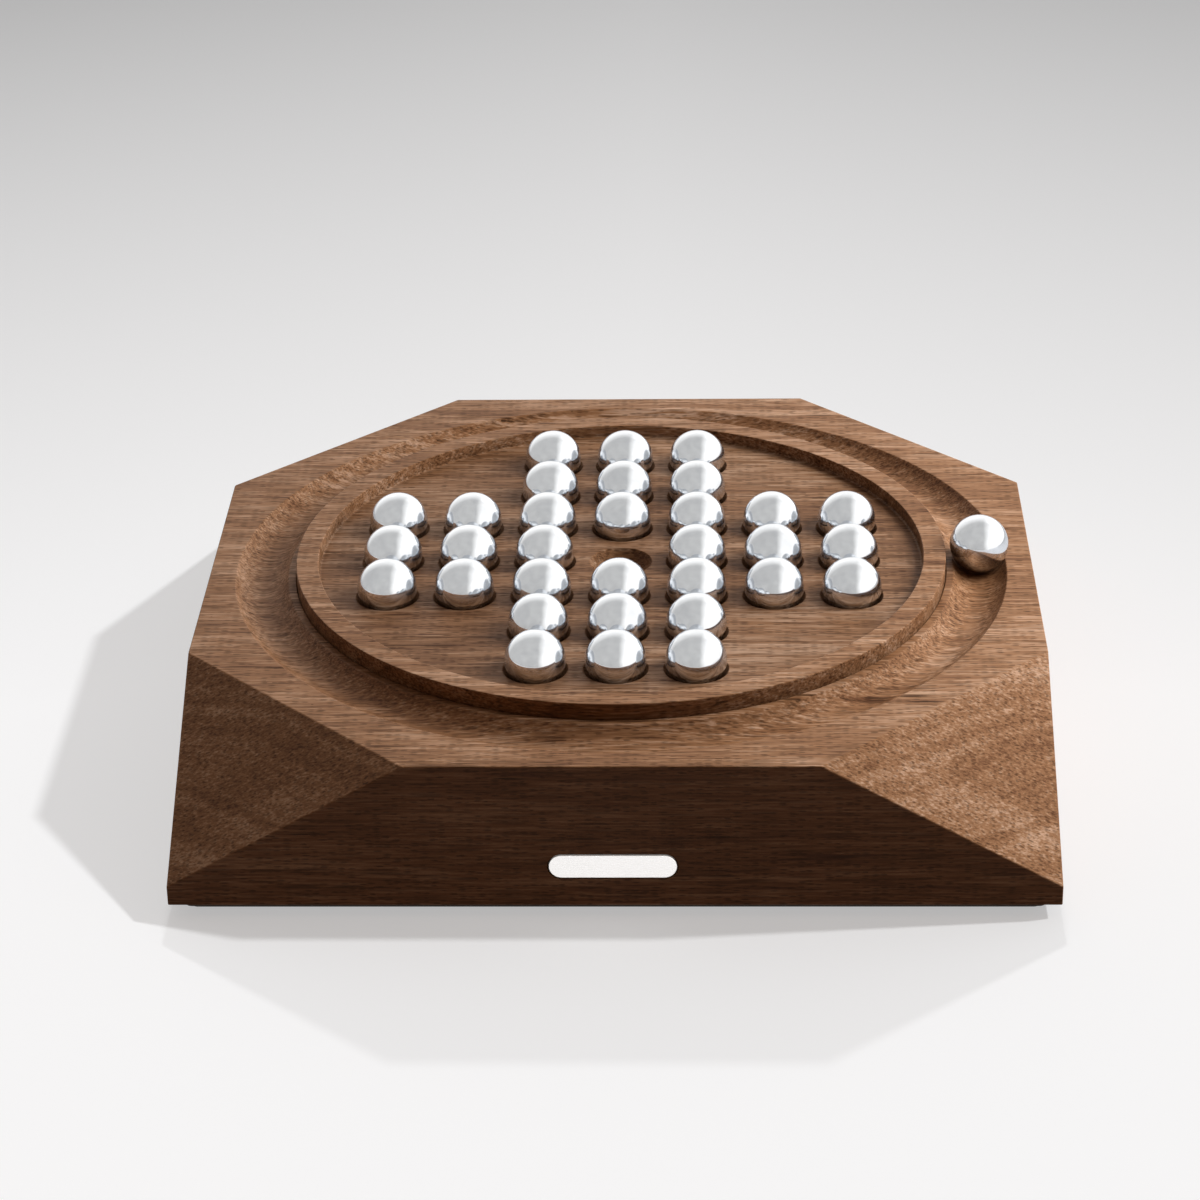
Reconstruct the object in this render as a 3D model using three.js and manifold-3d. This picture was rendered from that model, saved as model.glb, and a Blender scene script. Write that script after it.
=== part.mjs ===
// Marble solitaire board: a square hardwood block with its four corners cut away to an eight-sided top,
// a round groove for the captured balls, a turned playing tray with 33 cups, and 33 steel balls.
// Millimetres, +Z up, the front face towards -Y, the origin under the middle of the pad it stands on.

import * as THREE from 'three';
import { ConvexGeometry } from 'three/addons/geometries/ConvexGeometry.js';
import { mergeVertices } from 'three/addons/utils/BufferGeometryUtils.js';
import Module from 'manifold-3d';

// Driving dimensions
const gap = 0.3; // glue line or rest clearance between two pieces
const cupPitch = 32.4;
const ballDiameter = 25;

const boardHeight = 62.3; // wood block alone, from its underside to its top
const edgeMargin = 11.1; // flat wood between the groove and the board's edge
const topEdgeLength = 160.8; // straight edge left on each side of the top
const cornerPostHeight = 8.3; // upright corner left below each cut

const padThickness = 1.2;
const padInset = 7.5;
const plateThickness = 3.6;
const plateInset = 5.5;

const rimWidth = 9.5;
const rimHeight = 7; // the tray's rim above the block's top
const recessDepth = 5.8; // the playing floor below the rim
const playMargin = 12.84; // flat floor between the outermost cups and the rim
const traySeatDepth = 15; // how deep the tray is let into the block
const cupDepth = 8.9;
const cupClearance = 1.74; // how much larger a cup's radius is than a ball's

const grooveDepth = 6.04;
const grooveClearance = 0.9; // how much larger the groove's section radius is than a ball's
const ledgeWidth = 3.5; // flat wood between the tray and the groove

const plaqueLength = 50;
const plaqueWidth = 10;
const plaqueThickness = 1.2;
const plaqueAboveBase = 17.5; // the plaque's middle above the block's underside

const grooveBallAngle = THREE.MathUtils.degToRad(1.7); // where the captured ball has rolled to

// Facets on the round shapes
const roundSegments = 96;
const grooveTubeSegments = 24;
const cupSegments = 16;
const cupRings = 8;
const ballSegments = 14;
const ballRings = 10;

// Sizes that follow
const chordHalf = (radius, depth) => Math.sqrt(radius ** 2 - (radius - depth) ** 2);
const ballRadius = ballDiameter / 2;
const cupRadius = ballRadius + cupClearance;
const cupMouthRadius = chordHalf(cupRadius, cupDepth);
const outermostCup = Math.hypot(3, 1) * cupPitch;
const recessRadius = outermostCup + cupMouthRadius + playMargin;
const trayRadius = recessRadius + rimWidth;
const grooveSectionRadius = ballRadius + grooveClearance;
const grooveHalfWidth = chordHalf(grooveSectionRadius, grooveDepth);
const grooveRadius = trayRadius + ledgeWidth + grooveHalfWidth;
const halfSide = grooveRadius + grooveHalfWidth + edgeMargin;
const boardSide = 2 * halfSide;
const plateBottom = padThickness + gap;
const blockBottom = plateBottom + plateThickness + gap;
const blockTop = blockBottom + boardHeight;
const rimTop = blockTop + rimHeight;
const floorLevel = rimTop - recessDepth;
const seatLevel = blockTop - traySeatDepth;
const grooveCentreLevel = blockTop - grooveDepth + grooveSectionRadius;
const cupBallLevel = floorLevel - cupDepth + gap + ballRadius;
const grooveBallLevel = blockTop - grooveDepth + gap + ballRadius;

// Materials
const makeMaterial = (color, roughness, metalness) =>
  new THREE.MeshStandardMaterial({ color, roughness, metalness });
const woodColor = 0x7b5138;
const floorWoodColor = 0x8a6145;
const plateColor = 0x3b2416;
const padColor = 0x241a14;
const steelColor = 0xc9cbcd;
const plaqueColor = 0xb9bbbd;

const board = new THREE.Group();

const addMesh = (name, geometry, material) => {
  const mesh = new THREE.Mesh(geometry, material);
  mesh.name = name;
  board.add(mesh);
  return mesh;
};

// Cutting
const wasm = await Module();
wasm.setup();

const toSolid = (geometry) => {
  const bare = geometry.index ? geometry.toNonIndexed() : geometry.clone();
  bare.deleteAttribute('normal');
  bare.deleteAttribute('uv');
  const merged = mergeVertices(bare, 1e-4);
  const vertProperties = new Float32Array(merged.attributes.position.array);
  const triVerts = new Uint32Array(merged.index.array);
  return new wasm.Manifold(new wasm.Mesh({ numProp: 3, vertProperties, triVerts }));
};

const toGeometry = (solid) => {
  const mesh = solid.getMesh();
  const geometry = new THREE.BufferGeometry();
  geometry.setAttribute('position', new THREE.BufferAttribute(mesh.vertProperties, 3));
  geometry.setIndex(new THREE.BufferAttribute(mesh.triVerts, 1));
  geometry.computeVertexNormals();
  return geometry;
};

const cylinderUp = (radius, bottom, top, segments) => {
  const geometry = new THREE.CylinderGeometry(radius, radius, top - bottom, segments);
  geometry.rotateX(Math.PI / 2);
  geometry.translate(0, 0, (top + bottom) / 2);
  return geometry;
};

const squareSlab = (side, bottom, thickness) => {
  const geometry = new THREE.BoxGeometry(side, side, thickness);
  geometry.translate(0, 0, bottom + thickness / 2);
  return geometry;
};

// A flat bar with round ends, standing in the front face: its outer face is at depth 0 and it runs inwards.
const roundEndedBar = (length, width, thickness) => {
  const endRadius = width / 2;
  const endCentre = length / 2 - endRadius;
  const outline = new THREE.Shape();
  outline.absarc(endCentre, 0, endRadius, -Math.PI / 2, Math.PI / 2, false);
  outline.absarc(-endCentre, 0, endRadius, Math.PI / 2, 1.5 * Math.PI, false);
  outline.closePath();
  const geometry = new THREE.ExtrudeGeometry(outline, {
    depth: thickness,
    bevelEnabled: false,
    curveSegments: 8,
  });
  geometry.rotateX(Math.PI / 2);
  return geometry;
};

// Where the cups are: seven rows in the shape of a cross, three rows of seven crossed by three columns of seven.
const cupPlaces = [];
for (let row = -3; row <= 3; row += 1) {
  for (let column = -3; column <= 3; column += 1) {
    if (Math.abs(row) <= 1 || Math.abs(column) <= 1) {
      cupPlaces.push({ row, column, x: column * cupPitch, y: row * cupPitch });
    }
  }
}

// The block: an upright square at the foot, cut at each corner by a slanting plane up to the eight-sided top
const blockCorners = [];
for (const sideX of [-1, 1]) {
  for (const sideY of [-1, 1]) {
    const cornerX = sideX * halfSide;
    const cornerY = sideY * halfSide;
    blockCorners.push(new THREE.Vector3(cornerX, cornerY, blockBottom));
    blockCorners.push(new THREE.Vector3(cornerX, cornerY, blockBottom + cornerPostHeight));
    blockCorners.push(new THREE.Vector3((sideX * topEdgeLength) / 2, cornerY, blockTop));
    blockCorners.push(new THREE.Vector3(cornerX, (sideY * topEdgeLength) / 2, blockTop));
  }
}

const grooveCutter = new THREE.TorusGeometry(
  grooveRadius,
  grooveSectionRadius,
  grooveTubeSegments,
  roundSegments,
);
grooveCutter.translate(0, 0, grooveCentreLevel);

const seatCutter = cylinderUp(trayRadius + gap, seatLevel, blockTop + rimHeight, roundSegments);

const plaqueLevel = blockBottom + plaqueAboveBase;
const plaquePocket = roundEndedBar(
  plaqueLength + 2 * gap,
  plaqueWidth + 2 * gap,
  2 * (plaqueThickness + gap),
);
plaquePocket.translate(0, -halfSide + plaqueThickness + gap, plaqueLevel);

const blockSolid = toSolid(new ConvexGeometry(blockCorners))
  .subtract(toSolid(grooveCutter))
  .subtract(toSolid(seatCutter))
  .subtract(toSolid(plaquePocket));
addMesh('block', toGeometry(blockSolid), makeMaterial(woodColor, 0.55, 0));

// The turned playing tray: a disc with a raised rim and a round-bottomed cup at each place
const trayBottom = seatLevel + gap;
const trayProfile = [
  new THREE.Vector2(0, trayBottom),
  new THREE.Vector2(trayRadius, trayBottom),
  new THREE.Vector2(trayRadius, rimTop),
  new THREE.Vector2(recessRadius, rimTop),
  new THREE.Vector2(recessRadius, floorLevel),
  new THREE.Vector2(0, floorLevel),
];
const trayBlank = new THREE.LatheGeometry(trayProfile, roundSegments);
trayBlank.rotateX(Math.PI / 2);
let traySolid = toSolid(trayBlank);
for (const place of cupPlaces) {
  const cupCutter = new THREE.SphereGeometry(cupRadius, cupSegments, cupRings);
  cupCutter.rotateX(Math.PI / 2);
  cupCutter.translate(place.x, place.y, floorLevel - cupDepth + cupRadius);
  traySolid = traySolid.subtract(toSolid(cupCutter));
}
addMesh('playing_tray', toGeometry(traySolid), makeMaterial(floorWoodColor, 0.5, 0));

// What the block stands on: a thin plate set in from the edges, and a soft pad below it
addMesh(
  'base_plate',
  squareSlab(boardSide - 2 * plateInset, plateBottom, plateThickness),
  makeMaterial(plateColor, 0.7, 0),
);
addMesh(
  'underside_pad',
  squareSlab(boardSide - 2 * padInset, 0, padThickness),
  makeMaterial(padColor, 0.95, 0),
);

// The blank plaque let into the front face
const plaque = addMesh(
  'plaque',
  roundEndedBar(plaqueLength, plaqueWidth, plaqueThickness),
  makeMaterial(plaqueColor, 0.3, 1),
);
plaque.position.set(0, -halfSide + plaqueThickness, plaqueLevel);

// The balls: one in every cup but the middle one, and one captured ball in the groove
const ballGeometry = new THREE.SphereGeometry(ballRadius, ballSegments, ballRings);
ballGeometry.rotateX(Math.PI / 2);
const makeBallMaterial = () => makeMaterial(steelColor, 0.08, 1);
for (const place of cupPlaces) {
  const isCentre = place.row === 0 && place.column === 0;
  if (!isCentre) {
    const name = `ball_row${place.row + 4}_col${place.column + 4}`;
    const ball = addMesh(name, ballGeometry, makeBallMaterial());
    ball.position.set(place.x, place.y, cupBallLevel);
  }
}
const grooveBall = addMesh('ball_captured', ballGeometry, makeBallMaterial());
grooveBall.position.set(
  grooveRadius * Math.cos(grooveBallAngle),
  grooveRadius * Math.sin(grooveBallAngle),
  grooveBallLevel,
);

export default board;
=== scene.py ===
import math

import bmesh
import bpy
from mathutils import Matrix, Vector


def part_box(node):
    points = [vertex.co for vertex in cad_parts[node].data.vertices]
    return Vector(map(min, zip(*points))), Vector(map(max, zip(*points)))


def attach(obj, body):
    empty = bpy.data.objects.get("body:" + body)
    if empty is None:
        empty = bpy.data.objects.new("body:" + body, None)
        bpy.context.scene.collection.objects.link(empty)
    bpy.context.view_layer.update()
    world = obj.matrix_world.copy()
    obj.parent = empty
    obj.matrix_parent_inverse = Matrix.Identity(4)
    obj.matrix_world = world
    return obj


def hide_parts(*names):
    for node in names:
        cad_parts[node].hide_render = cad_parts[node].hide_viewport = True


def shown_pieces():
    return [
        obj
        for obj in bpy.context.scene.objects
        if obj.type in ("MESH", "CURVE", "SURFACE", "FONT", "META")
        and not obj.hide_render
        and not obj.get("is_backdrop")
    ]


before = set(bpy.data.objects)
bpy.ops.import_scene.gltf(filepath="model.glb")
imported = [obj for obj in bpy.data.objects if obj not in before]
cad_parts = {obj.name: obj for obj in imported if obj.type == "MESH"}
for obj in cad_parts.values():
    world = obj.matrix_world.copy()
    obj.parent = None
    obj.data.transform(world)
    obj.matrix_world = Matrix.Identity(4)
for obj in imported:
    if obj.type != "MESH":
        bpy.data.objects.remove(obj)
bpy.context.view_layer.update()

scene = bpy.context.scene
scene.view_settings.view_transform = "Standard"
fullTurn = 2 * math.pi
closeEnough = 0.000001  # points nearer than this count as one height or radius
mergeDistance = 0.000004


# Shader maths

class Shade:
    def __init__(self, graph, socket):
        self.graph = graph
        self.socket = socket

    def __add__(self, other):
        return self.graph.maths("ADD", self, other)

    def __sub__(self, other):
        return self.graph.maths("SUBTRACT", self, other)

    def __rsub__(self, other):
        return self.graph.maths("SUBTRACT", other, self)

    def __mul__(self, other):
        return self.graph.maths("MULTIPLY", self, other)

    def __pow__(self, other):
        return self.graph.maths("POWER", self, other)

    __radd__ = __add__
    __rmul__ = __mul__


class Graph:
    def __init__(self, owner):
        owner.use_nodes = True
        self.tree = owner.node_tree
        self.tree.nodes.clear()

    def node(self, kind, settings=None, inputs=None, output=0):
        made = self.tree.nodes.new(kind)
        for name, value in (settings or {}).items():
            setattr(made, name, value)
        for name, value in (inputs or {}).items():
            if isinstance(value, Shade):
                self.tree.links.new(value.socket, made.inputs[name])
            else:
                made.inputs[name].default_value = value
        return Shade(self, made.outputs[output]) if made.outputs else made

    def maths(self, operation, first, second):
        return self.node("ShaderNodeMath", {"operation": operation}, {0: first, 1: second})

    def part(self, place, index):
        return self.node("ShaderNodeSeparateXYZ", {}, {0: place}, output=index)

    def grey(self, value):
        return self.node("ShaderNodeCombineColor", {}, {0: value, 1: value, 2: value})

    def objectPlace(self, scale, turn=(0, 0, 0), shift=(0, 0, 0)):
        place = self.node("ShaderNodeTexCoord", output=3)
        inputs = {"Vector": place, "Location": shift, "Rotation": turn, "Scale": scale}
        return self.node("ShaderNodeMapping", {}, inputs)

    def noise(self, place, detail=2, roughness=0.5, distortion=0):
        inputs = {"Vector": place, "Scale": 1, "Detail": detail,
                  "Roughness": roughness, "Distortion": distortion}
        return self.node("ShaderNodeTexNoise", {}, inputs)

    def band(self, value, low, high, bottom=0, top=1):
        inputs = {"Value": value, "From Min": low, "From Max": high, "To Min": bottom, "To Max": top}
        return self.node("ShaderNodeMapRange", {"clamp": True}, inputs)

    def mixColour(self, amount, first, second, blend="MIX"):
        settings = {"data_type": "RGBA", "blend_type": blend}
        return self.node("ShaderNodeMix", settings, {0: amount, 6: first, 7: second}, output=2)

    def bump(self, height, distance):
        return self.node("ShaderNodeBump", {}, {"Height": height, "Distance": distance, "Strength": 1})

    def surface(self, inputs):
        shader = self.node("ShaderNodeBsdfPrincipled", {}, inputs)
        self.node("ShaderNodeOutputMaterial", {}, {"Surface": shader})


def newMaterial(name):
    material = bpy.data.materials.new(name)
    return material, Graph(material)


# Walnut, grain along X

walnutLook = {
    "dark": (0.068, 0.0240, 0.0080, 1),
    "mid": (0.170, 0.0770, 0.0320, 1),
    "light": (0.330, 0.1960, 0.1160, 1),
    "pore": (0.0120, 0.0040, 0.0015, 1),
    "toneRange": (0.64, 1.08),  # sums of the layers that give the dark and the light colour
    "roughness": 0.43,
    "roughnessOfFibres": 0.14,
    "roughnessOfPores": 0.2,
    "shine": 0.12,
    "poreDepth": 0.00002,
    "fibreDepth": 0.000008,
    "poreStrength": 0.9,
    "shortPoreStrength": 0.6,
    "poreCore": 0.45,  # share of a pore's size that is fully dark
    "luckFade": 0.12,
    "poresOffStreak": 0.35,  # how strong the long pores are between the streaks
    "poresOnCut": 0.5,  # and on the corner cuts
    "streakRange": (0.63, 0.84),
    "streaksOnCut": 0.2,
    "cutFade": (0.0012, 0.0004),  # depths under a cut between which its look comes in
    "toneFade": 0.002,  # height over which the painted shade turns into the plain tone
    "ringsInStreaks": 0.25,
    "pith": (0, -0.05, -0.24),  # the tree's middle, where the growth rings are centred
    "ringPitch": 0.0065,
    "ringBend": 0.035,
}

# How much each layer lightens the wood
layerWeights = {"rings": 0.35, "blotches": 0.4, "fibres": 0.4, "fineFibres": 0.6, "streaks": -0.15}

# Noise layers, long along X and narrow across the grain
grainLayers = {
    "slowBend": {"scale": (5, 9, 9), "detail": 1},
    "blotches": {"scale": (7, 24, 24), "detail": 2, "distortion": 0.6},
    "streaks": {"scale": (11, 230, 230), "detail": 4, "roughness": 0.7},
    "fibres": {"scale": (16, 520, 520), "detail": 4, "roughness": 0.62},
    "fineFibres": {"scale": (60, 1300, 1300), "detail": 2, "roughness": 0.6},
}

poreKinds = {
    "long": {"scale": (62, 850, 850), "size": 0.7, "share": 0.42},
    "short": {"scale": (280, 1250, 1250), "size": 0.66, "share": 0.42},
}


def grainLayer(g, name, shift):
    layer = dict(grainLayers[name])
    place = g.objectPlace(layer.pop("scale"), shift=shift)
    return g.noise(place, **layer)


# Dark dashes along the grain, one in each cell that its random colour picks
def makePores(g, kind, shift):
    pore = poreKinds[kind]
    settings = {"feature": "F1", "voronoi_dimensions": "3D"}
    place = g.objectPlace(pore["scale"], shift=shift)
    inputs = {"Vector": place, "Scale": 1, "Randomness": 1}
    distance = g.node("ShaderNodeTexVoronoi", settings, inputs)
    colour = g.node("ShaderNodeTexVoronoi", settings, inputs, output=1)
    luck = g.node("ShaderNodeSeparateColor", {}, {0: colour})
    core = pore["size"] * walnutLook["poreCore"]
    leastLuck = 1 - pore["share"]
    picked = g.band(luck, leastLuck, leastLuck + walnutLook["luckFade"])
    return g.band(distance, pore["size"], core) * picked


# 1 on the slanted corner cuts of the block, where the grain is cut across, and 0 elsewhere
def cornerCut(g):
    place = g.objectPlace((1, 1, 1))
    sideways = g.maths("ABSOLUTE", g.part(place, 0), 0)
    forward = g.maths("ABSOLUTE", g.part(place, 1), 0)
    low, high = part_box("block")
    slope = (high.z - low.z - block["cornerPost"]) / (high.x - block["topEdge"] / 2)
    reach = (sideways + forward) * slope + g.part(place, 2)
    edge = (high.x + block["topEdge"] / 2) * slope + high.z
    deep, shallow = walnutLook["cutFade"]
    return g.band(reach, edge - deep, edge - shallow)


# Growth rings, as noise over the distance from the tree's middle
def makeRings(g, shift):
    look = walnutLook
    offCentre = g.part(g.objectPlace((1, 1, 1), shift=shift), 1) - look["pith"][1]
    above = g.part(g.objectPlace((1, 1, 1)), 2) - look["pith"][2]
    bend = grainLayer(g, "slowBend", shift) * look["ringBend"]
    fromPith = (offCentre * offCentre + above * above) ** 0.5 + bend
    inputs = {"W": fromPith * (1 / look["ringPitch"]), "Scale": 1, "Detail": 3, "Roughness": 0.6}
    return g.node("ShaderNodeTexNoise", {"noise_dimensions": "1D"}, inputs)


# Below a given height the wood's tone is swapped for a darker one: painted shade on the floor of a recess.
def makeWalnut(name, shift, tone, paintedShadeBelow=-1.0, paintedShadeTone=1.0):
    look = walnutLook
    material, g = newMaterial(name)
    flat = 1 - cornerCut(g)
    layers = {"rings": makeRings(g, shift)}
    for layer in ("blotches", "fibres", "fineFibres"):
        layers[layer] = grainLayer(g, layer, shift)
    streakSum = grainLayer(g, "streaks", shift) + layers["rings"] * look["ringsInStreaks"]
    onCut = look["streaksOnCut"]
    layers["streaks"] = g.band(streakSum, *look["streakRange"]) * (flat * (1 - onCut) + onCut)
    offStreak = look["poresOffStreak"]
    crowding = layers["streaks"] * (1 - offStreak) + offStreak
    cutPores = look["poresOnCut"]
    longPores = makePores(g, "long", shift) * crowding * (flat * (1 - cutPores) + cutPores)
    shortPores = makePores(g, "short", shift) * look["shortPoreStrength"]
    pores = g.maths("MAXIMUM", longPores, shortPores)
    lightness = g.band(sum(layers[layer] * weight for layer, weight in layerWeights.items()),
                       *look["toneRange"])
    lower = g.mixColour(g.band(lightness, 0, 0.5), look["dark"], look["mid"])
    wood = g.mixColour(g.band(lightness, 0.5, 1), lower, look["light"])
    height = g.part(g.objectPlace((1, 1, 1)), 2)
    toneWithPaintedShade = g.band(height, paintedShadeBelow, paintedShadeBelow + look["toneFade"], paintedShadeTone, tone)
    toned = g.mixColour(1.0, wood, g.grey(toneWithPaintedShade), blend="MULTIPLY")
    relief = layers["fibres"] * look["fibreDepth"] - pores * look["poreDepth"]
    fibreRoughness = layers["fibres"] * look["roughnessOfFibres"]
    g.surface({
        "Base Color": g.mixColour(pores * look["poreStrength"], toned, look["pore"]),
        "Roughness": fibreRoughness + pores * look["roughnessOfPores"] + look["roughness"],
        "Normal": g.bump(relief, 1.0),
        "Specular IOR Level": look["shine"],
    })
    return material


# Polished steel of the balls

steelLook = {
    "colour": (0.80, 0.825, 0.86, 1),
    "hazyColour": (0.72, 0.74, 0.77, 1),
    "roughness": 0.035,
    "roughnessOfHaze": 0.05,
    "roughnessOfScratches": 0.02,
    "smearScale": (70, 70, 70),
    "hazeRange": (0.45, 0.75),
    "rippleScale": (230, 230, 230),
    "scratchScale": (2600, 380, 900),
    "scratchTurn": (0.6, 0.3, 0.9),
    "scratchDepth": 0.0000016,
    "rippleOverScratch": 12,  # how much deeper the slow ripple is than the scratches
    "satinColour": (0.60, 0.68, 0.80, 1),  # the part of the light that fine scratches spread
    "satinRoughness": 0.36,
    "satinShare": 0.17,
    "satinShareOfHaze": 0.06,
}


def makeSteel():
    look = steelLook
    material, g = newMaterial("polishedSteel")
    smear = g.noise(g.objectPlace(look["smearScale"]), detail=3, distortion=0.8)
    haze = g.band(smear, *look["hazeRange"])
    ripple = g.noise(g.objectPlace(look["rippleScale"]), detail=1)
    scratches = g.noise(g.objectPlace(look["scratchScale"], turn=look["scratchTurn"]), detail=2)
    polish = haze * look["roughnessOfHaze"] + scratches * look["roughnessOfScratches"]
    relief = ripple * look["rippleOverScratch"] + scratches
    mirror = g.node("ShaderNodeBsdfPrincipled", {}, {
        "Base Color": g.mixColour(haze, look["colour"], look["hazyColour"]),
        "Metallic": 1.0,
        "Roughness": polish + look["roughness"],
        "Normal": g.bump(relief, look["scratchDepth"]),
    })
    satin = g.node("ShaderNodeBsdfPrincipled", {}, {
        "Base Color": look["satinColour"],
        "Metallic": 1.0,
        "Roughness": look["satinRoughness"],
    })
    share = haze * look["satinShareOfHaze"] + look["satinShare"]
    mixed = g.node("ShaderNodeMixShader", {}, {0: share, 1: mirror, 2: satin})
    g.node("ShaderNodeOutputMaterial", {}, {"Surface": mixed})
    return material


# Silvered metal of the plaque, brushed along its length

plaqueLook = {
    "colours": ((0.95, 0.95, 0.945, 1), (0.99, 0.985, 0.98, 1)),
    "cloudScale": (90, 90, 90),
    "brushingScale": (40, 3000, 5200),
    "brushingDepth": 0.00001,
    "metallic": 0.7,
    "roughness": 0.2,
    "roughnessOfBrushing": 0.16,
}


def makePlaqueMetal():
    look = plaqueLook
    material, g = newMaterial("brushedSilver")
    brushing = g.noise(g.objectPlace(look["brushingScale"]), detail=3, roughness=0.7)
    cloud = g.noise(g.objectPlace(look["cloudScale"]), detail=2)
    g.surface({
        "Base Color": g.mixColour(cloud, *look["colours"]),
        "Metallic": look["metallic"],
        "Roughness": brushing * look["roughnessOfBrushing"] + look["roughness"],
        "Normal": g.bump(brushing, look["brushingDepth"]),
    })
    return material


# Stained edge of the base plate, and the felt the board stands on

plateLook = {
    "colours": ((0.010, 0.006, 0.004, 1), (0.035, 0.019, 0.011, 1)),
    "streakScale": (18, 18, 1500),
    "streakDepth": 0.0001,
    "roughness": 0.5,
    "roughnessOfStreaks": 0.2,
}


def makeStainedWood():
    look = plateLook
    material, g = newMaterial("stainedPlate")
    streaks = g.noise(g.objectPlace(look["streakScale"]), detail=3)
    g.surface({
        "Base Color": g.mixColour(streaks, *look["colours"]),
        "Roughness": streaks * look["roughnessOfStreaks"] + look["roughness"],
        "Normal": g.bump(streaks, look["streakDepth"]),
    })
    return material


feltLook = {
    "colours": ((0.007, 0.006, 0.005, 1), (0.034, 0.028, 0.024, 1)),
    "wornColour": (0.05, 0.043, 0.036, 1),
    "wearStrength": 0.35,
    "wearScale": (22, 22, 22),
    "fuzzScale": (1400, 1400, 1400),
    "fuzzDepth": 0.0004,
    "roughness": 0.9,
    "roughnessOfWear": 0.08,
    "sheen": 0.35,
}


def makeFelt():
    look = feltLook
    material, g = newMaterial("darkFelt")
    fuzz = g.noise(g.objectPlace(look["fuzzScale"]), detail=4, roughness=0.75)
    wear = g.noise(g.objectPlace(look["wearScale"]), detail=3)
    unworn = g.mixColour(fuzz, *look["colours"])
    g.surface({
        "Base Color": g.mixColour(wear * look["wearStrength"], unworn, look["wornColour"]),
        "Roughness": wear * look["roughnessOfWear"] + look["roughness"],
        "Normal": g.bump(fuzz, look["fuzzDepth"]),
        "Sheen Weight": look["sheen"],
    })
    return material


# Mesh helpers

def finishPiece(name, bm, material, body, replaced, smoothAngle=40):
    bmesh.ops.remove_doubles(bm, verts=bm.verts, dist=mergeDistance)
    bmesh.ops.recalc_face_normals(bm, faces=bm.faces)
    mesh = bpy.data.meshes.new(name)
    bm.to_mesh(mesh)
    bm.free()
    mesh.shade_smooth()
    mesh.set_sharp_from_angle(angle=math.radians(smoothAngle))
    piece = bpy.data.objects.new(name, mesh)
    scene.collection.objects.link(piece)
    mesh.materials.append(material)
    weighted = piece.modifiers.new("flatFacesStayFlat", "WEIGHTED_NORMAL")
    weighted.keep_sharp = True
    weighted.weight = 90
    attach(piece, body)
    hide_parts(*replaced)
    return piece


# Points of a turned section: each corner is (radius, height, ease), and an ease above 0 rounds it.
def turnedSection(corners, steps=4):
    points = []
    for index, (radius, height, ease) in enumerate(corners):
        corner = Vector((radius, 0, height))
        if ease <= 0:
            points.append(corner)
            continue
        before = Vector((corners[index - 1][0], 0, corners[index - 1][1]))
        after = Vector((corners[index + 1][0], 0, corners[index + 1][1]))
        start = corner + (before - corner).normalized() * ease
        end = corner + (after - corner).normalized() * ease
        for step in range(steps + 1):
            share = step / steps
            points.append(start * (1 - share) ** 2 + corner * 2 * share * (1 - share) + end * share ** 2)
    return points


# Spins a section round an upright line and returns the circle of edges that its first point sweeps.
def spinSection(bm, points, centre, steps):
    place = Vector((centre[0], centre[1], 0))
    older = len(bm.edges)
    line = [bm.verts.new(place + point) for point in points]
    edges = [bm.edges.new(pair) for pair in zip(line, line[1:])]
    bmesh.ops.spin(bm, geom=line + edges, cent=place, axis=(0, 0, 1), angle=fullTurn,
                   steps=steps, use_merge=True, use_duplicate=False)
    firstRadius = points[0].x
    firstHeight = points[0].z
    newEdges = list(bm.edges)[older:]
    return [edge for edge in newEdges
            if all(onCircle(vert.co, place, firstRadius, firstHeight) for vert in edge.verts)]


def onCircle(point, place, radius, height):
    flat = math.hypot(point.x - place.x, point.y - place.y)
    return abs(point.z - height) < closeEnough and abs(flat - radius) < closeEnough


# Section of a round cup from its eased mouth to its lowest point
def sphereSection(radius, depth, ease, steps):
    sweep = math.acos((radius - depth) / radius)
    rim = radius * math.sin(sweep)
    turnsTo = (rim - ease * 0.55, -ease * 1.2, 0)  # the eased edge turns down towards this point
    points = turnedSection([(rim + 2 * ease, 0, 0), (rim, 0, ease), turnsTo])[1:-1]
    easeAngle = 0.12  # part of the sweep that the eased edge takes up
    for step in range(1, steps + 1):
        angle = (sweep - easeAngle) * (1 - step / steps)
        points.append(Vector((radius * math.sin(angle), 0, radius - depth - radius * math.cos(angle))))
    return points


# The block

block = {
    "topEdge": 0.1608,
    "cornerPost": 0.0083,
    "ease": 0.0005,
    "grooveDepth": 0.00604,
    "grooveClearance": 0.0009,
    "grooveSteps": 22,
    "ledge": 0.0035,
    "seatDepth": 0.015,
    "seatGap": 0.0003,
    "seatEase": 0.0003,
    "pocketGap": 0.0007,
    "roundSteps": 256,
    "grainShift": (0.31, 0.12, 0.05),
    "tone": 1.15,
}


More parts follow.
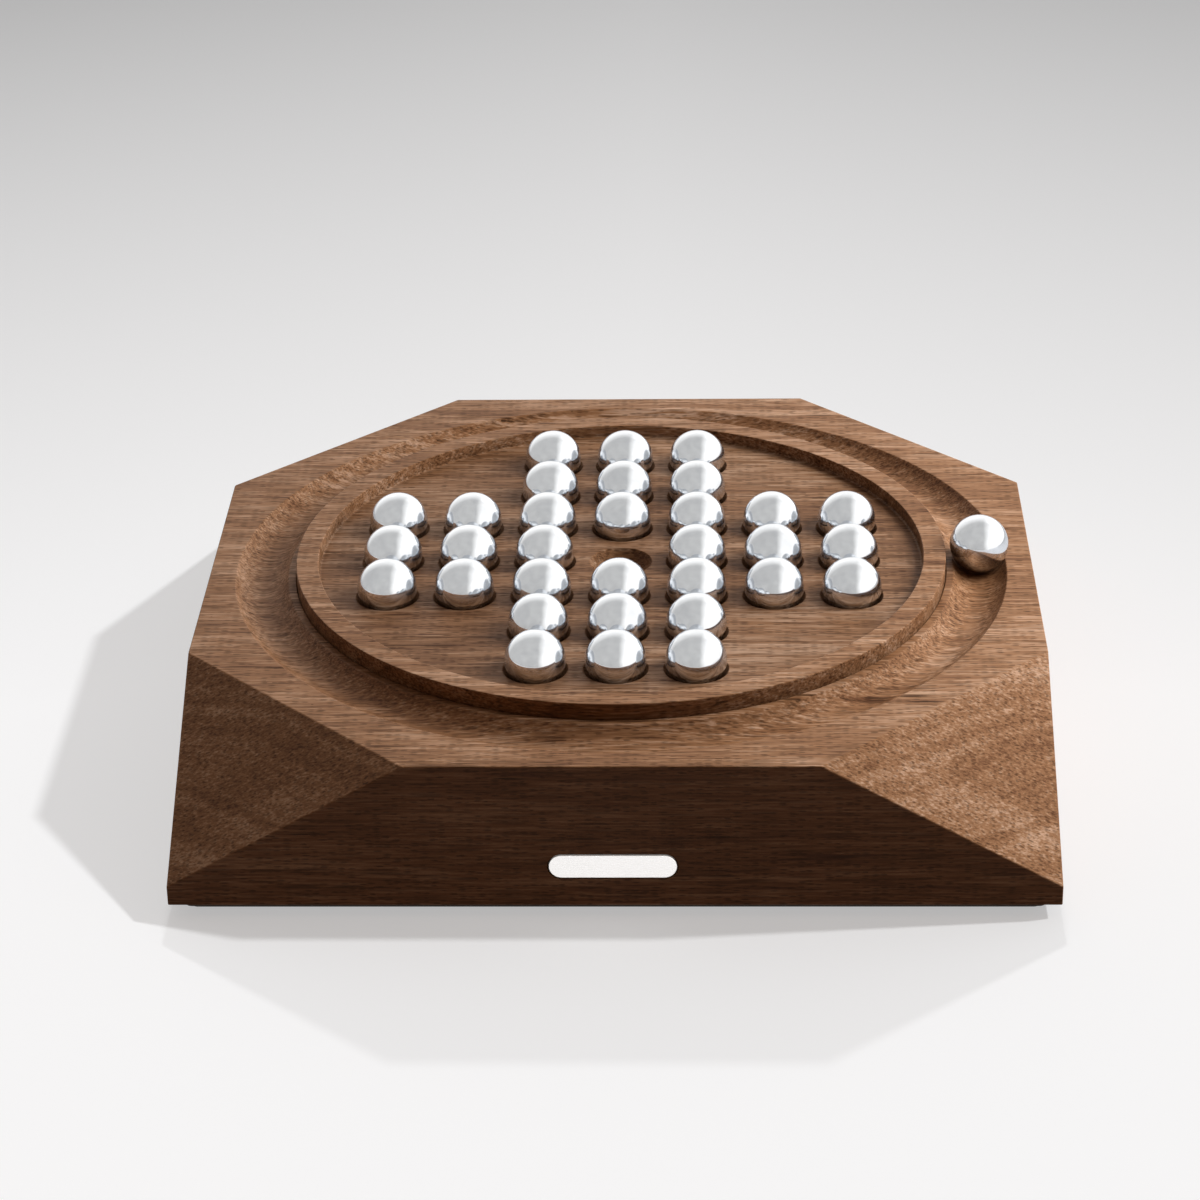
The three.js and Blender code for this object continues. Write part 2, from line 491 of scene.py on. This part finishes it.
def buildBlock(material):
    low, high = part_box("block")
    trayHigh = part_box("playing_tray")[1]
    ballLow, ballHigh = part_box("ball_captured")
    bm = bmesh.new()
    for sideX in (-1, 1):
        for sideY in (-1, 1):
            corner = Vector((sideX * high.x, sideY * high.x, 0))
            bm.verts.new((corner.x, corner.y, low.z))
            bm.verts.new((corner.x, corner.y, low.z + block["cornerPost"]))
            bm.verts.new((sideX * block["topEdge"] / 2, corner.y, high.z))
            bm.verts.new((corner.x, sideY * block["topEdge"] / 2, high.z))
    bmesh.ops.convex_hull(bm, input=bm.verts)
    bmesh.ops.dissolve_limit(bm, angle_limit=math.radians(1), verts=bm.verts, edges=bm.edges)
    bmesh.ops.bevel(bm, geom=bm.edges, offset=block["ease"], segments=4, profile=0.5,
                    affect="EDGES", material=-1)
    heightFirst = 10  # makes height count for more than area
    top = max(bm.faces, key=lambda face: face.calc_center_median().z * heightFirst + face.calc_area())
    outerLoop = list(top.edges)
    bmesh.ops.delete(bm, geom=[top], context="FACES_ONLY")
    sectionRadius = (ballHigh.z - ballLow.z) / 2 + block["grooveClearance"]
    halfWidth = math.sqrt(sectionRadius ** 2 - (sectionRadius - block["grooveDepth"]) ** 2)
    grooveRadius = trayHigh.x + block["ledge"] + halfWidth
    points = grooveSection(grooveRadius, sectionRadius, high.z)
    seatRadius = trayHigh.x + block["seatGap"]
    seatHeight = high.z - block["seatDepth"]
    points += turnedSection([
        (grooveRadius - halfWidth, high.z, 0),
        (seatRadius, high.z, block["seatEase"]),
        (seatRadius, seatHeight, 0),
        (0, seatHeight, 0),
    ])[1:]
    innerLoop = spinSection(bm, points, (0, 0), block["roundSteps"])
    bmesh.ops.triangle_fill(bm, use_beauty=True, use_dissolve=False, edges=outerLoop + innerLoop)
    return finishPiece("walnutBlock", bm, material, "board", ["block"])


# Section of the round-bottomed groove with eased edges, from its outer edge inwards
def grooveSection(grooveRadius, sectionRadius, top):
    ease = block["ease"]
    sweep = math.acos((sectionRadius - block["grooveDepth"]) / sectionRadius)
    centreHeight = top - block["grooveDepth"] + sectionRadius
    easeAngle = ease / sectionRadius
    arc = []
    for step in range(block["grooveSteps"] + 1):
        angle = (sweep - easeAngle) * (1 - 2 * step / block["grooveSteps"])
        radius = grooveRadius + sectionRadius * math.sin(angle)
        arc.append((radius, centreHeight - sectionRadius * math.cos(angle), 0))
    halfWidth = sectionRadius * math.sin(sweep)
    outer = turnedSection([(grooveRadius + halfWidth + 2 * ease, top, 0),
                           (grooveRadius + halfWidth, top, ease), arc[0]])[1:-1]
    inner = turnedSection([arc[-1], (grooveRadius - halfWidth, top, ease),
                           (grooveRadius - halfWidth - 2 * ease, top, 0)])[1:-1]
    return outer + turnedSection(arc) + inner


# Cuts the plaque's pocket, a little larger all round than the plaque
def cutPlaquePocket(piece):
    low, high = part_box("plaque")
    bm = bmesh.new()
    grow = block["pocketGap"]
    proud = 0.01  # how far the cutter stands out of the front face
    cutterLow = Vector((low.x - grow, low.y - proud, low.z - grow))
    cutterHigh = Vector((high.x + grow, high.y + grow, high.z + grow))
    makeRoundEndedBar(bm, cutterLow, cutterHigh, 0)
    bmesh.ops.recalc_face_normals(bm, faces=bm.faces)
    mesh = bpy.data.meshes.new("pocketCutter")
    bm.to_mesh(mesh)
    bm.free()
    cutter = bpy.data.objects.new("pocketCutter", mesh)
    scene.collection.objects.link(cutter)
    cut = piece.modifiers.new("plaquePocket", "BOOLEAN")
    cut.operation = "DIFFERENCE"
    cut.solver = "EXACT"
    cut.object = cutter
    piece.modifiers.move(piece.modifiers.find("plaquePocket"), 0)
    weighted = piece.modifiers["flatFacesStayFlat"]
    weighted.show_viewport = False
    view = bpy.context.evaluated_depsgraph_get()
    finished = bpy.data.meshes.new_from_object(piece.evaluated_get(view))
    weighted.show_viewport = True
    piece.modifiers.remove(cut)
    piece.data = finished
    finished.name = piece.name
    bpy.data.objects.remove(cutter)


# The turned tray with its cups

tray = {
    "rimWidth": 0.0095,
    "recess": 0.0058,
    "rimEase": 0.0005,
    "footFillet": 0.0011,
    "cupDepth": 0.0089,
    "cupClearance": 0.00174,
    "cupEase": 0.0004,
    "pitch": 0.0324,
    "cupSteps": 14,
    "cupTurns": 72,
    "grainShift": (1.37, 0.43, 0.08),
    "tone": 1.15,
    "wellPaintedShade": 0.92,  # painted shade: the floor inside the rim is painted a little darker
    "wellPaintedShadeTop": 0.001,  # how far above that floor the painted shade starts to fade
}


# Rows and columns of the cross of cups, counted from the middle cup
def cupPlaces():
    for row in range(-3, 4):
        for column in range(-3, 4):
            if abs(row) <= 1 or abs(column) <= 1:
                yield row, column


# Spins one cup, copies it to each place and returns the edges of the cups' mouths.
def addCups(bm, section):
    single = bmesh.new()
    spinSection(single, section, (0, 0), tray["cupTurns"])
    cupMesh = bpy.data.meshes.new("cup")
    single.to_mesh(cupMesh)
    single.free()
    mouths = []
    for row, column in cupPlaces():
        place = Vector((column * tray["pitch"], row * tray["pitch"], 0))
        oldVerts = len(bm.verts)
        oldEdges = len(bm.edges)
        bm.from_mesh(cupMesh)
        bmesh.ops.translate(bm, verts=list(bm.verts)[oldVerts:], vec=place)
        newEdges = list(bm.edges)[oldEdges:]
        mouths += [edge for edge in newEdges
                   if all(onCircle(vert.co, place, section[0].x, section[0].z) for vert in edge.verts)]
    bpy.data.meshes.remove(cupMesh)
    return mouths


def buildTray(material):
    low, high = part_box("playing_tray")
    ballLow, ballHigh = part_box("ball_captured")
    floorHeight = high.z - tray["recess"]
    recessRadius = high.x - tray["rimWidth"]
    cupRadius = (ballHigh.z - ballLow.z) / 2 + tray["cupClearance"]
    bm = bmesh.new()
    section = turnedSection([
        (0, floorHeight, 0),
        (recessRadius, floorHeight, tray["footFillet"]),
        (recessRadius, high.z, tray["rimEase"]),
        (high.x, high.z, tray["rimEase"]),
        (high.x, low.z, tray["rimEase"]),
        (0, low.z, 0),
    ])[1:]
    loops = spinSection(bm, section, (0, 0), block["roundSteps"])
    cup = sphereSection(cupRadius, tray["cupDepth"], tray["cupEase"], tray["cupSteps"])
    loops += addCups(bm, [point + Vector((0, 0, floorHeight)) for point in cup])
    bmesh.ops.triangle_fill(bm, use_beauty=True, use_dissolve=False, edges=loops)
    return finishPiece("turnedTray", bm, material, "board", ["playing_tray"])


# The balls

ball = {"fineness": 5}


def buildBalls(material):
    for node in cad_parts:
        if node.startswith("ball_"):
            low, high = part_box(node)
            bm = bmesh.new()
            bmesh.ops.create_icosphere(bm, subdivisions=ball["fineness"], radius=(high.z - low.z) / 2)
            bmesh.ops.translate(bm, verts=bm.verts, vec=(low + high) / 2)
            finishPiece("steel_" + node, bm, material, node, [node], smoothAngle=180)


# The plaque, the base plate and the pad

plaque = {"ease": 0.00035, "endSteps": 20}


# A flat bar with half-round ends that faces the front, with its front edge eased
def makeRoundEndedBar(bm, low, high, ease):
    radius = (high.z - low.z) / 2
    middle = (low.z + high.z) / 2
    start = bm.verts.new((high.x - radius, low.y, low.z))
    bmesh.ops.spin(bm, geom=[start], cent=(high.x - radius, low.y, middle), axis=(0, -1, 0),
                   angle=math.pi, steps=plaque["endSteps"], use_duplicate=False)
    other = bm.verts.new((low.x + radius, low.y, high.z))
    bmesh.ops.spin(bm, geom=[other], cent=(low.x + radius, low.y, middle), axis=(0, -1, 0),
                   angle=math.pi, steps=plaque["endSteps"], use_duplicate=False)
    ends = [vert for vert in bm.verts if len(vert.link_edges) == 1]
    for height in (low.z, high.z):
        bm.edges.new([vert for vert in ends if abs(vert.co.z - height) < closeEnough])
    face = bmesh.ops.contextual_create(bm, geom=bm.edges)["faces"]
    grown = bmesh.ops.extrude_face_region(bm, geom=face)["geom"]
    newVerts = [item for item in grown if isinstance(item, bmesh.types.BMVert)]
    bmesh.ops.translate(bm, verts=newVerts, vec=(0, high.y - low.y, 0))
    if ease:
        outer = [edge for edge in bm.edges
                 if all(abs(vert.co.y - low.y) < closeEnough for vert in edge.verts)]
        bmesh.ops.bevel(bm, geom=outer, offset=ease, segments=4, profile=0.5, affect="EDGES", material=-1)


def buildPlaque(material):
    low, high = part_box("plaque")
    bm = bmesh.new()
    makeRoundEndedBar(bm, low, high, plaque["ease"])
    return finishPiece("plaqueBar", bm, material, "board", ["plaque"])


slabs = {"cornerRadius": 0.003, "ease": 0.0003, "sharpAngle": 1}  # the angle is in radians


def rise(edge):
    return abs(edge.verts[0].co.z - edge.verts[1].co.z)


def buildSlab(name, node, material):
    low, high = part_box(node)
    bm = bmesh.new()
    bmesh.ops.create_cube(bm, size=1)
    bmesh.ops.scale(bm, verts=bm.verts, vec=high - low)
    bmesh.ops.translate(bm, verts=bm.verts, vec=(low + high) / 2)
    upright = [edge for edge in bm.edges if rise(edge) > closeEnough]
    bmesh.ops.bevel(bm, geom=upright, offset=slabs["cornerRadius"], segments=8, profile=0.5,
                    affect="EDGES", material=-1)
    flat = [edge for edge in bm.edges
            if rise(edge) < closeEnough and edge.calc_face_angle(0) > slabs["sharpAngle"]]
    bmesh.ops.bevel(bm, geom=flat, offset=slabs["ease"], segments=3, profile=0.5,
                    affect="EDGES", material=-1)
    return finishPiece(name, bm, material, "board", [node])


# Building the object

walnutBlock = buildBlock(makeWalnut("walnutOfBlock", block["grainShift"], block["tone"]))
cutPlaquePocket(walnutBlock)
print("block built")
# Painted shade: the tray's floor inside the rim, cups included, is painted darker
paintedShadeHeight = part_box("playing_tray")[1].z - tray["recess"] + tray["wellPaintedShadeTop"]
buildTray(makeWalnut("walnutOfTray", tray["grainShift"], tray["tone"], paintedShadeHeight, tray["wellPaintedShade"]))
print("tray built")
buildBalls(makeSteel())
print("balls built")
plaqueBar = buildPlaque(makePlaqueMetal())
buildSlab("stainedBasePlate", "base_plate", makeStainedWood())
buildSlab("feltPad", "underside_pad", makeFelt())
print("plaque and base built")


# Floor, lights and camera

studio = {
    "floorSize": 14,
    "floorColour": (0.552, 0.560, 0.570, 1),
    # the floor's glow is painted light, an emission that lifts its shadows
    "floorGlow": 0.45,
    "floorGlowColour": (0.985, 0.992, 1, 1),
    "farPaintedFalloff": 0.5,  # painted falloff: how much darker the floor is painted far behind the board
    "paintedFalloffRange": (0.1, 1.2),  # where the painted falloff on the floor starts and stops
    "paintedFalloffSideways": 0.4,
    "skyOnWood": 0.5,
    "skyOnWoodFront": 0.2,  # share of it that comes from the front
    "skyOnWoodRange": (-0.5, 0.6),
    "frontTint": (1, 0.6, 0.36, 1),
    "frontTintRange": (-0.4, 0.4),
    "skyInMetal": 0.66,
    "skyInMetalTint": (1, 0.97, 0.925, 1),
    "glowBehindInMetal": 0.7,  # bright wall behind the board, seen at glancing angles
    "glowBehindRange": (0.45, 0.9),
    "whiteCardInMetal": 0.75,
    "whiteCardRange": (0.3, 0.62),
    "cloudScale": (2.2, 2.2, 2.2),
    "cloudsInCard": 0.16,  # how far the clouds move the edge of the white card
    "cloudContrast": 0.3,
}


def buildFloor():
    bm = bmesh.new()
    bmesh.ops.create_grid(bm, x_segments=2, y_segments=2, size=studio["floorSize"] / 2)
    mesh = bpy.data.meshes.new("studioFloor")
    bm.to_mesh(mesh)
    bm.free()
    floor = bpy.data.objects.new("studioFloor", mesh)
    scene.collection.objects.link(floor)
    floor.visible_diffuse = False
    material, g = newMaterial("floorPaper")
    place = g.objectPlace((1, 1, 1))
    sideways = g.maths("ABSOLUTE", g.part(place, 0), 0)
    distance = g.part(place, 1) + sideways * studio["paintedFalloffSideways"]
    # Painted light on the floor: darker further back and to the sides, and its glow fades the same way
    tone = g.band(distance, *studio["paintedFalloffRange"], 1, studio["farPaintedFalloff"])
    g.surface({
        "Base Color": g.mixColour(1.0, g.grey(tone), studio["floorColour"], blend="MULTIPLY"),
        "Roughness": 0.9,
        "Specular IOR Level": 0.1,
        "Emission Color": studio["floorGlowColour"],
        "Emission Strength": tone * studio["floorGlow"],
    })
    mesh.materials.append(material)
    floor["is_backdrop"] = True
    return floor


# The sky has two faces: a soft one that lights the wood, and one with a white card that metal mirrors.
def buildSky():
    world = bpy.data.worlds.new("studioSky")
    scene.world = world
    g = Graph(world)
    direction = g.node("ShaderNodeTexCoord", output=0)
    sideways = g.part(direction, 0)
    away = g.part(direction, 1)
    glossy = g.node("ShaderNodeLightPath", output=3)
    cloudPlace = g.node("ShaderNodeMapping", {}, {"Vector": direction, "Scale": studio["cloudScale"]})
    clouds = g.noise(cloudPlace, detail=1)
    cardEdge = sideways + clouds * studio["cloudsInCard"]
    card = g.band(cardEdge, *studio["whiteCardRange"], 0, studio["whiteCardInMetal"])
    contrast = studio["cloudContrast"]
    cloudy = (clouds * contrast + (1 - contrast / 2)) * studio["skyInMetal"]
    inMetal = card + cloudy + g.band(away, *studio["glowBehindRange"]) * studio["glowBehindInMetal"]
    onWood = g.band(away, *studio["skyOnWoodRange"], studio["skyOnWoodFront"], 1) * studio["skyOnWood"]
    brightness = onWood + glossy * (inMetal - onWood)
    tint = g.mixColour(g.band(away, *studio["frontTintRange"]), studio["frontTint"], (1, 1, 1, 1))
    colour = g.mixColour(glossy, tint, studio["skyInMetalTint"])
    background = g.node("ShaderNodeBackground", {}, {"Color": colour, "Strength": brightness})
    g.node("ShaderNodeOutputWorld", {}, {"Surface": background})


# A lamp that lights only what is in its list
def lightOnly(lamp, pieces):
    receivers = bpy.data.collections.new(lamp.name + "Lights")
    for piece in pieces:
        receivers.objects.link(piece)
    lamp.light_linking.receiver_collection = receivers


# Azimuth is counted from straight behind the board towards the right. Angles are in degrees.
suns = {
    "backSun": {"azimuth": 0, "elevation": 33.8, "strength": 0.95, "spread": 2.5},
    "rightSun": {"azimuth": 76, "elevation": 44.8, "strength": 1.84, "spread": 3},
    "backFill": {"azimuth": 0, "elevation": 40, "strength": 0.85, "spread": 40},
    "plaqueLight": {"azimuth": 180, "elevation": 20, "strength": 4, "spread": 20},
    "rightFill": {"azimuth": 76, "elevation": 46, "strength": 0.6, "spread": 36},
}


def addSun(name, receivers):
    sun = suns[name]
    data = bpy.data.lights.new(name, "SUN")
    data.energy = sun["strength"]
    data.angle = math.radians(sun["spread"])
    side = math.radians(sun["azimuth"])
    climb = math.radians(sun["elevation"])
    towards = Vector((math.sin(side) * math.cos(climb), math.cos(side) * math.cos(climb), math.sin(climb)))
    lamp = hangLamp(name, data, (0, 0, 0), towards)
    lamp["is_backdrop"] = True
    lightOnly(lamp, receivers)


softbox = {
    "place": (0.62, 0.06, 0.5),
    "target": (0, 0, 0.05),
    "width": 0.5,
    "height": 0.5,
    "power": 11,
    "colour": (0.98, 1.1, 1.3),
}


def addSoftbox(name, receivers):
    data = bpy.data.lights.new(name, "AREA")
    data.shape = "RECTANGLE"
    data.size = softbox["width"]
    data.size_y = softbox["height"]
    data.energy = softbox["power"]
    data.color = softbox["colour"]
    towards = Vector(softbox["place"]) - Vector(softbox["target"])
    lamp = hangLamp(name, data, softbox["place"], towards)
    lamp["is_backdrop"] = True
    lightOnly(lamp, receivers)


# Hangs a lamp that shines from the direction towards and isn't seen in polished pieces.
def hangLamp(name, data, place, towards):
    lamp = bpy.data.objects.new(name, data)
    scene.collection.objects.link(lamp)
    lamp.location = place
    lamp.rotation_euler = towards.to_track_quat("Z", "Y").to_euler()
    lamp.visible_glossy = False
    return lamp


cameraView = {
    "place": (0.03826, -1.35417, 0.73855),
    "azimuth": -2.007,  # which way it looks, from straight along +Y
    "elevation": 26.925,  # how far it looks down
    "roll": -1.07,
    "lens": 106.2,
}


def buildCamera():
    data = bpy.data.cameras.new("studioCamera")
    data.lens = cameraView["lens"]
    data.sensor_width = 36
    data.clip_end = 60
    camera = bpy.data.objects.new("studioCamera", data)
    scene.collection.objects.link(camera)
    side = math.radians(cameraView["azimuth"])
    drop = math.radians(cameraView["elevation"])
    looking = Vector((math.sin(side) * math.cos(drop), math.cos(side) * math.cos(drop), -math.sin(drop)))
    aim = looking.to_track_quat("-Z", "Y").to_matrix()
    turned = aim @ Matrix.Rotation(math.radians(cameraView["roll"]), 3, "Z")
    camera.matrix_world = Matrix.Translation(cameraView["place"]) @ turned.to_4x4()
    scene.camera = camera


floor = buildFloor()
buildSky()
addSun("backSun", [floor])
addSun("rightSun", [floor])
woodAndSteel = list(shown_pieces())
addSun("backFill", woodAndSteel)
addSun("plaqueLight", [plaqueBar])
addSun("rightFill", woodAndSteel)
addSoftbox("rightSoftbox", woodAndSteel)
buildCamera()
print("studio built")
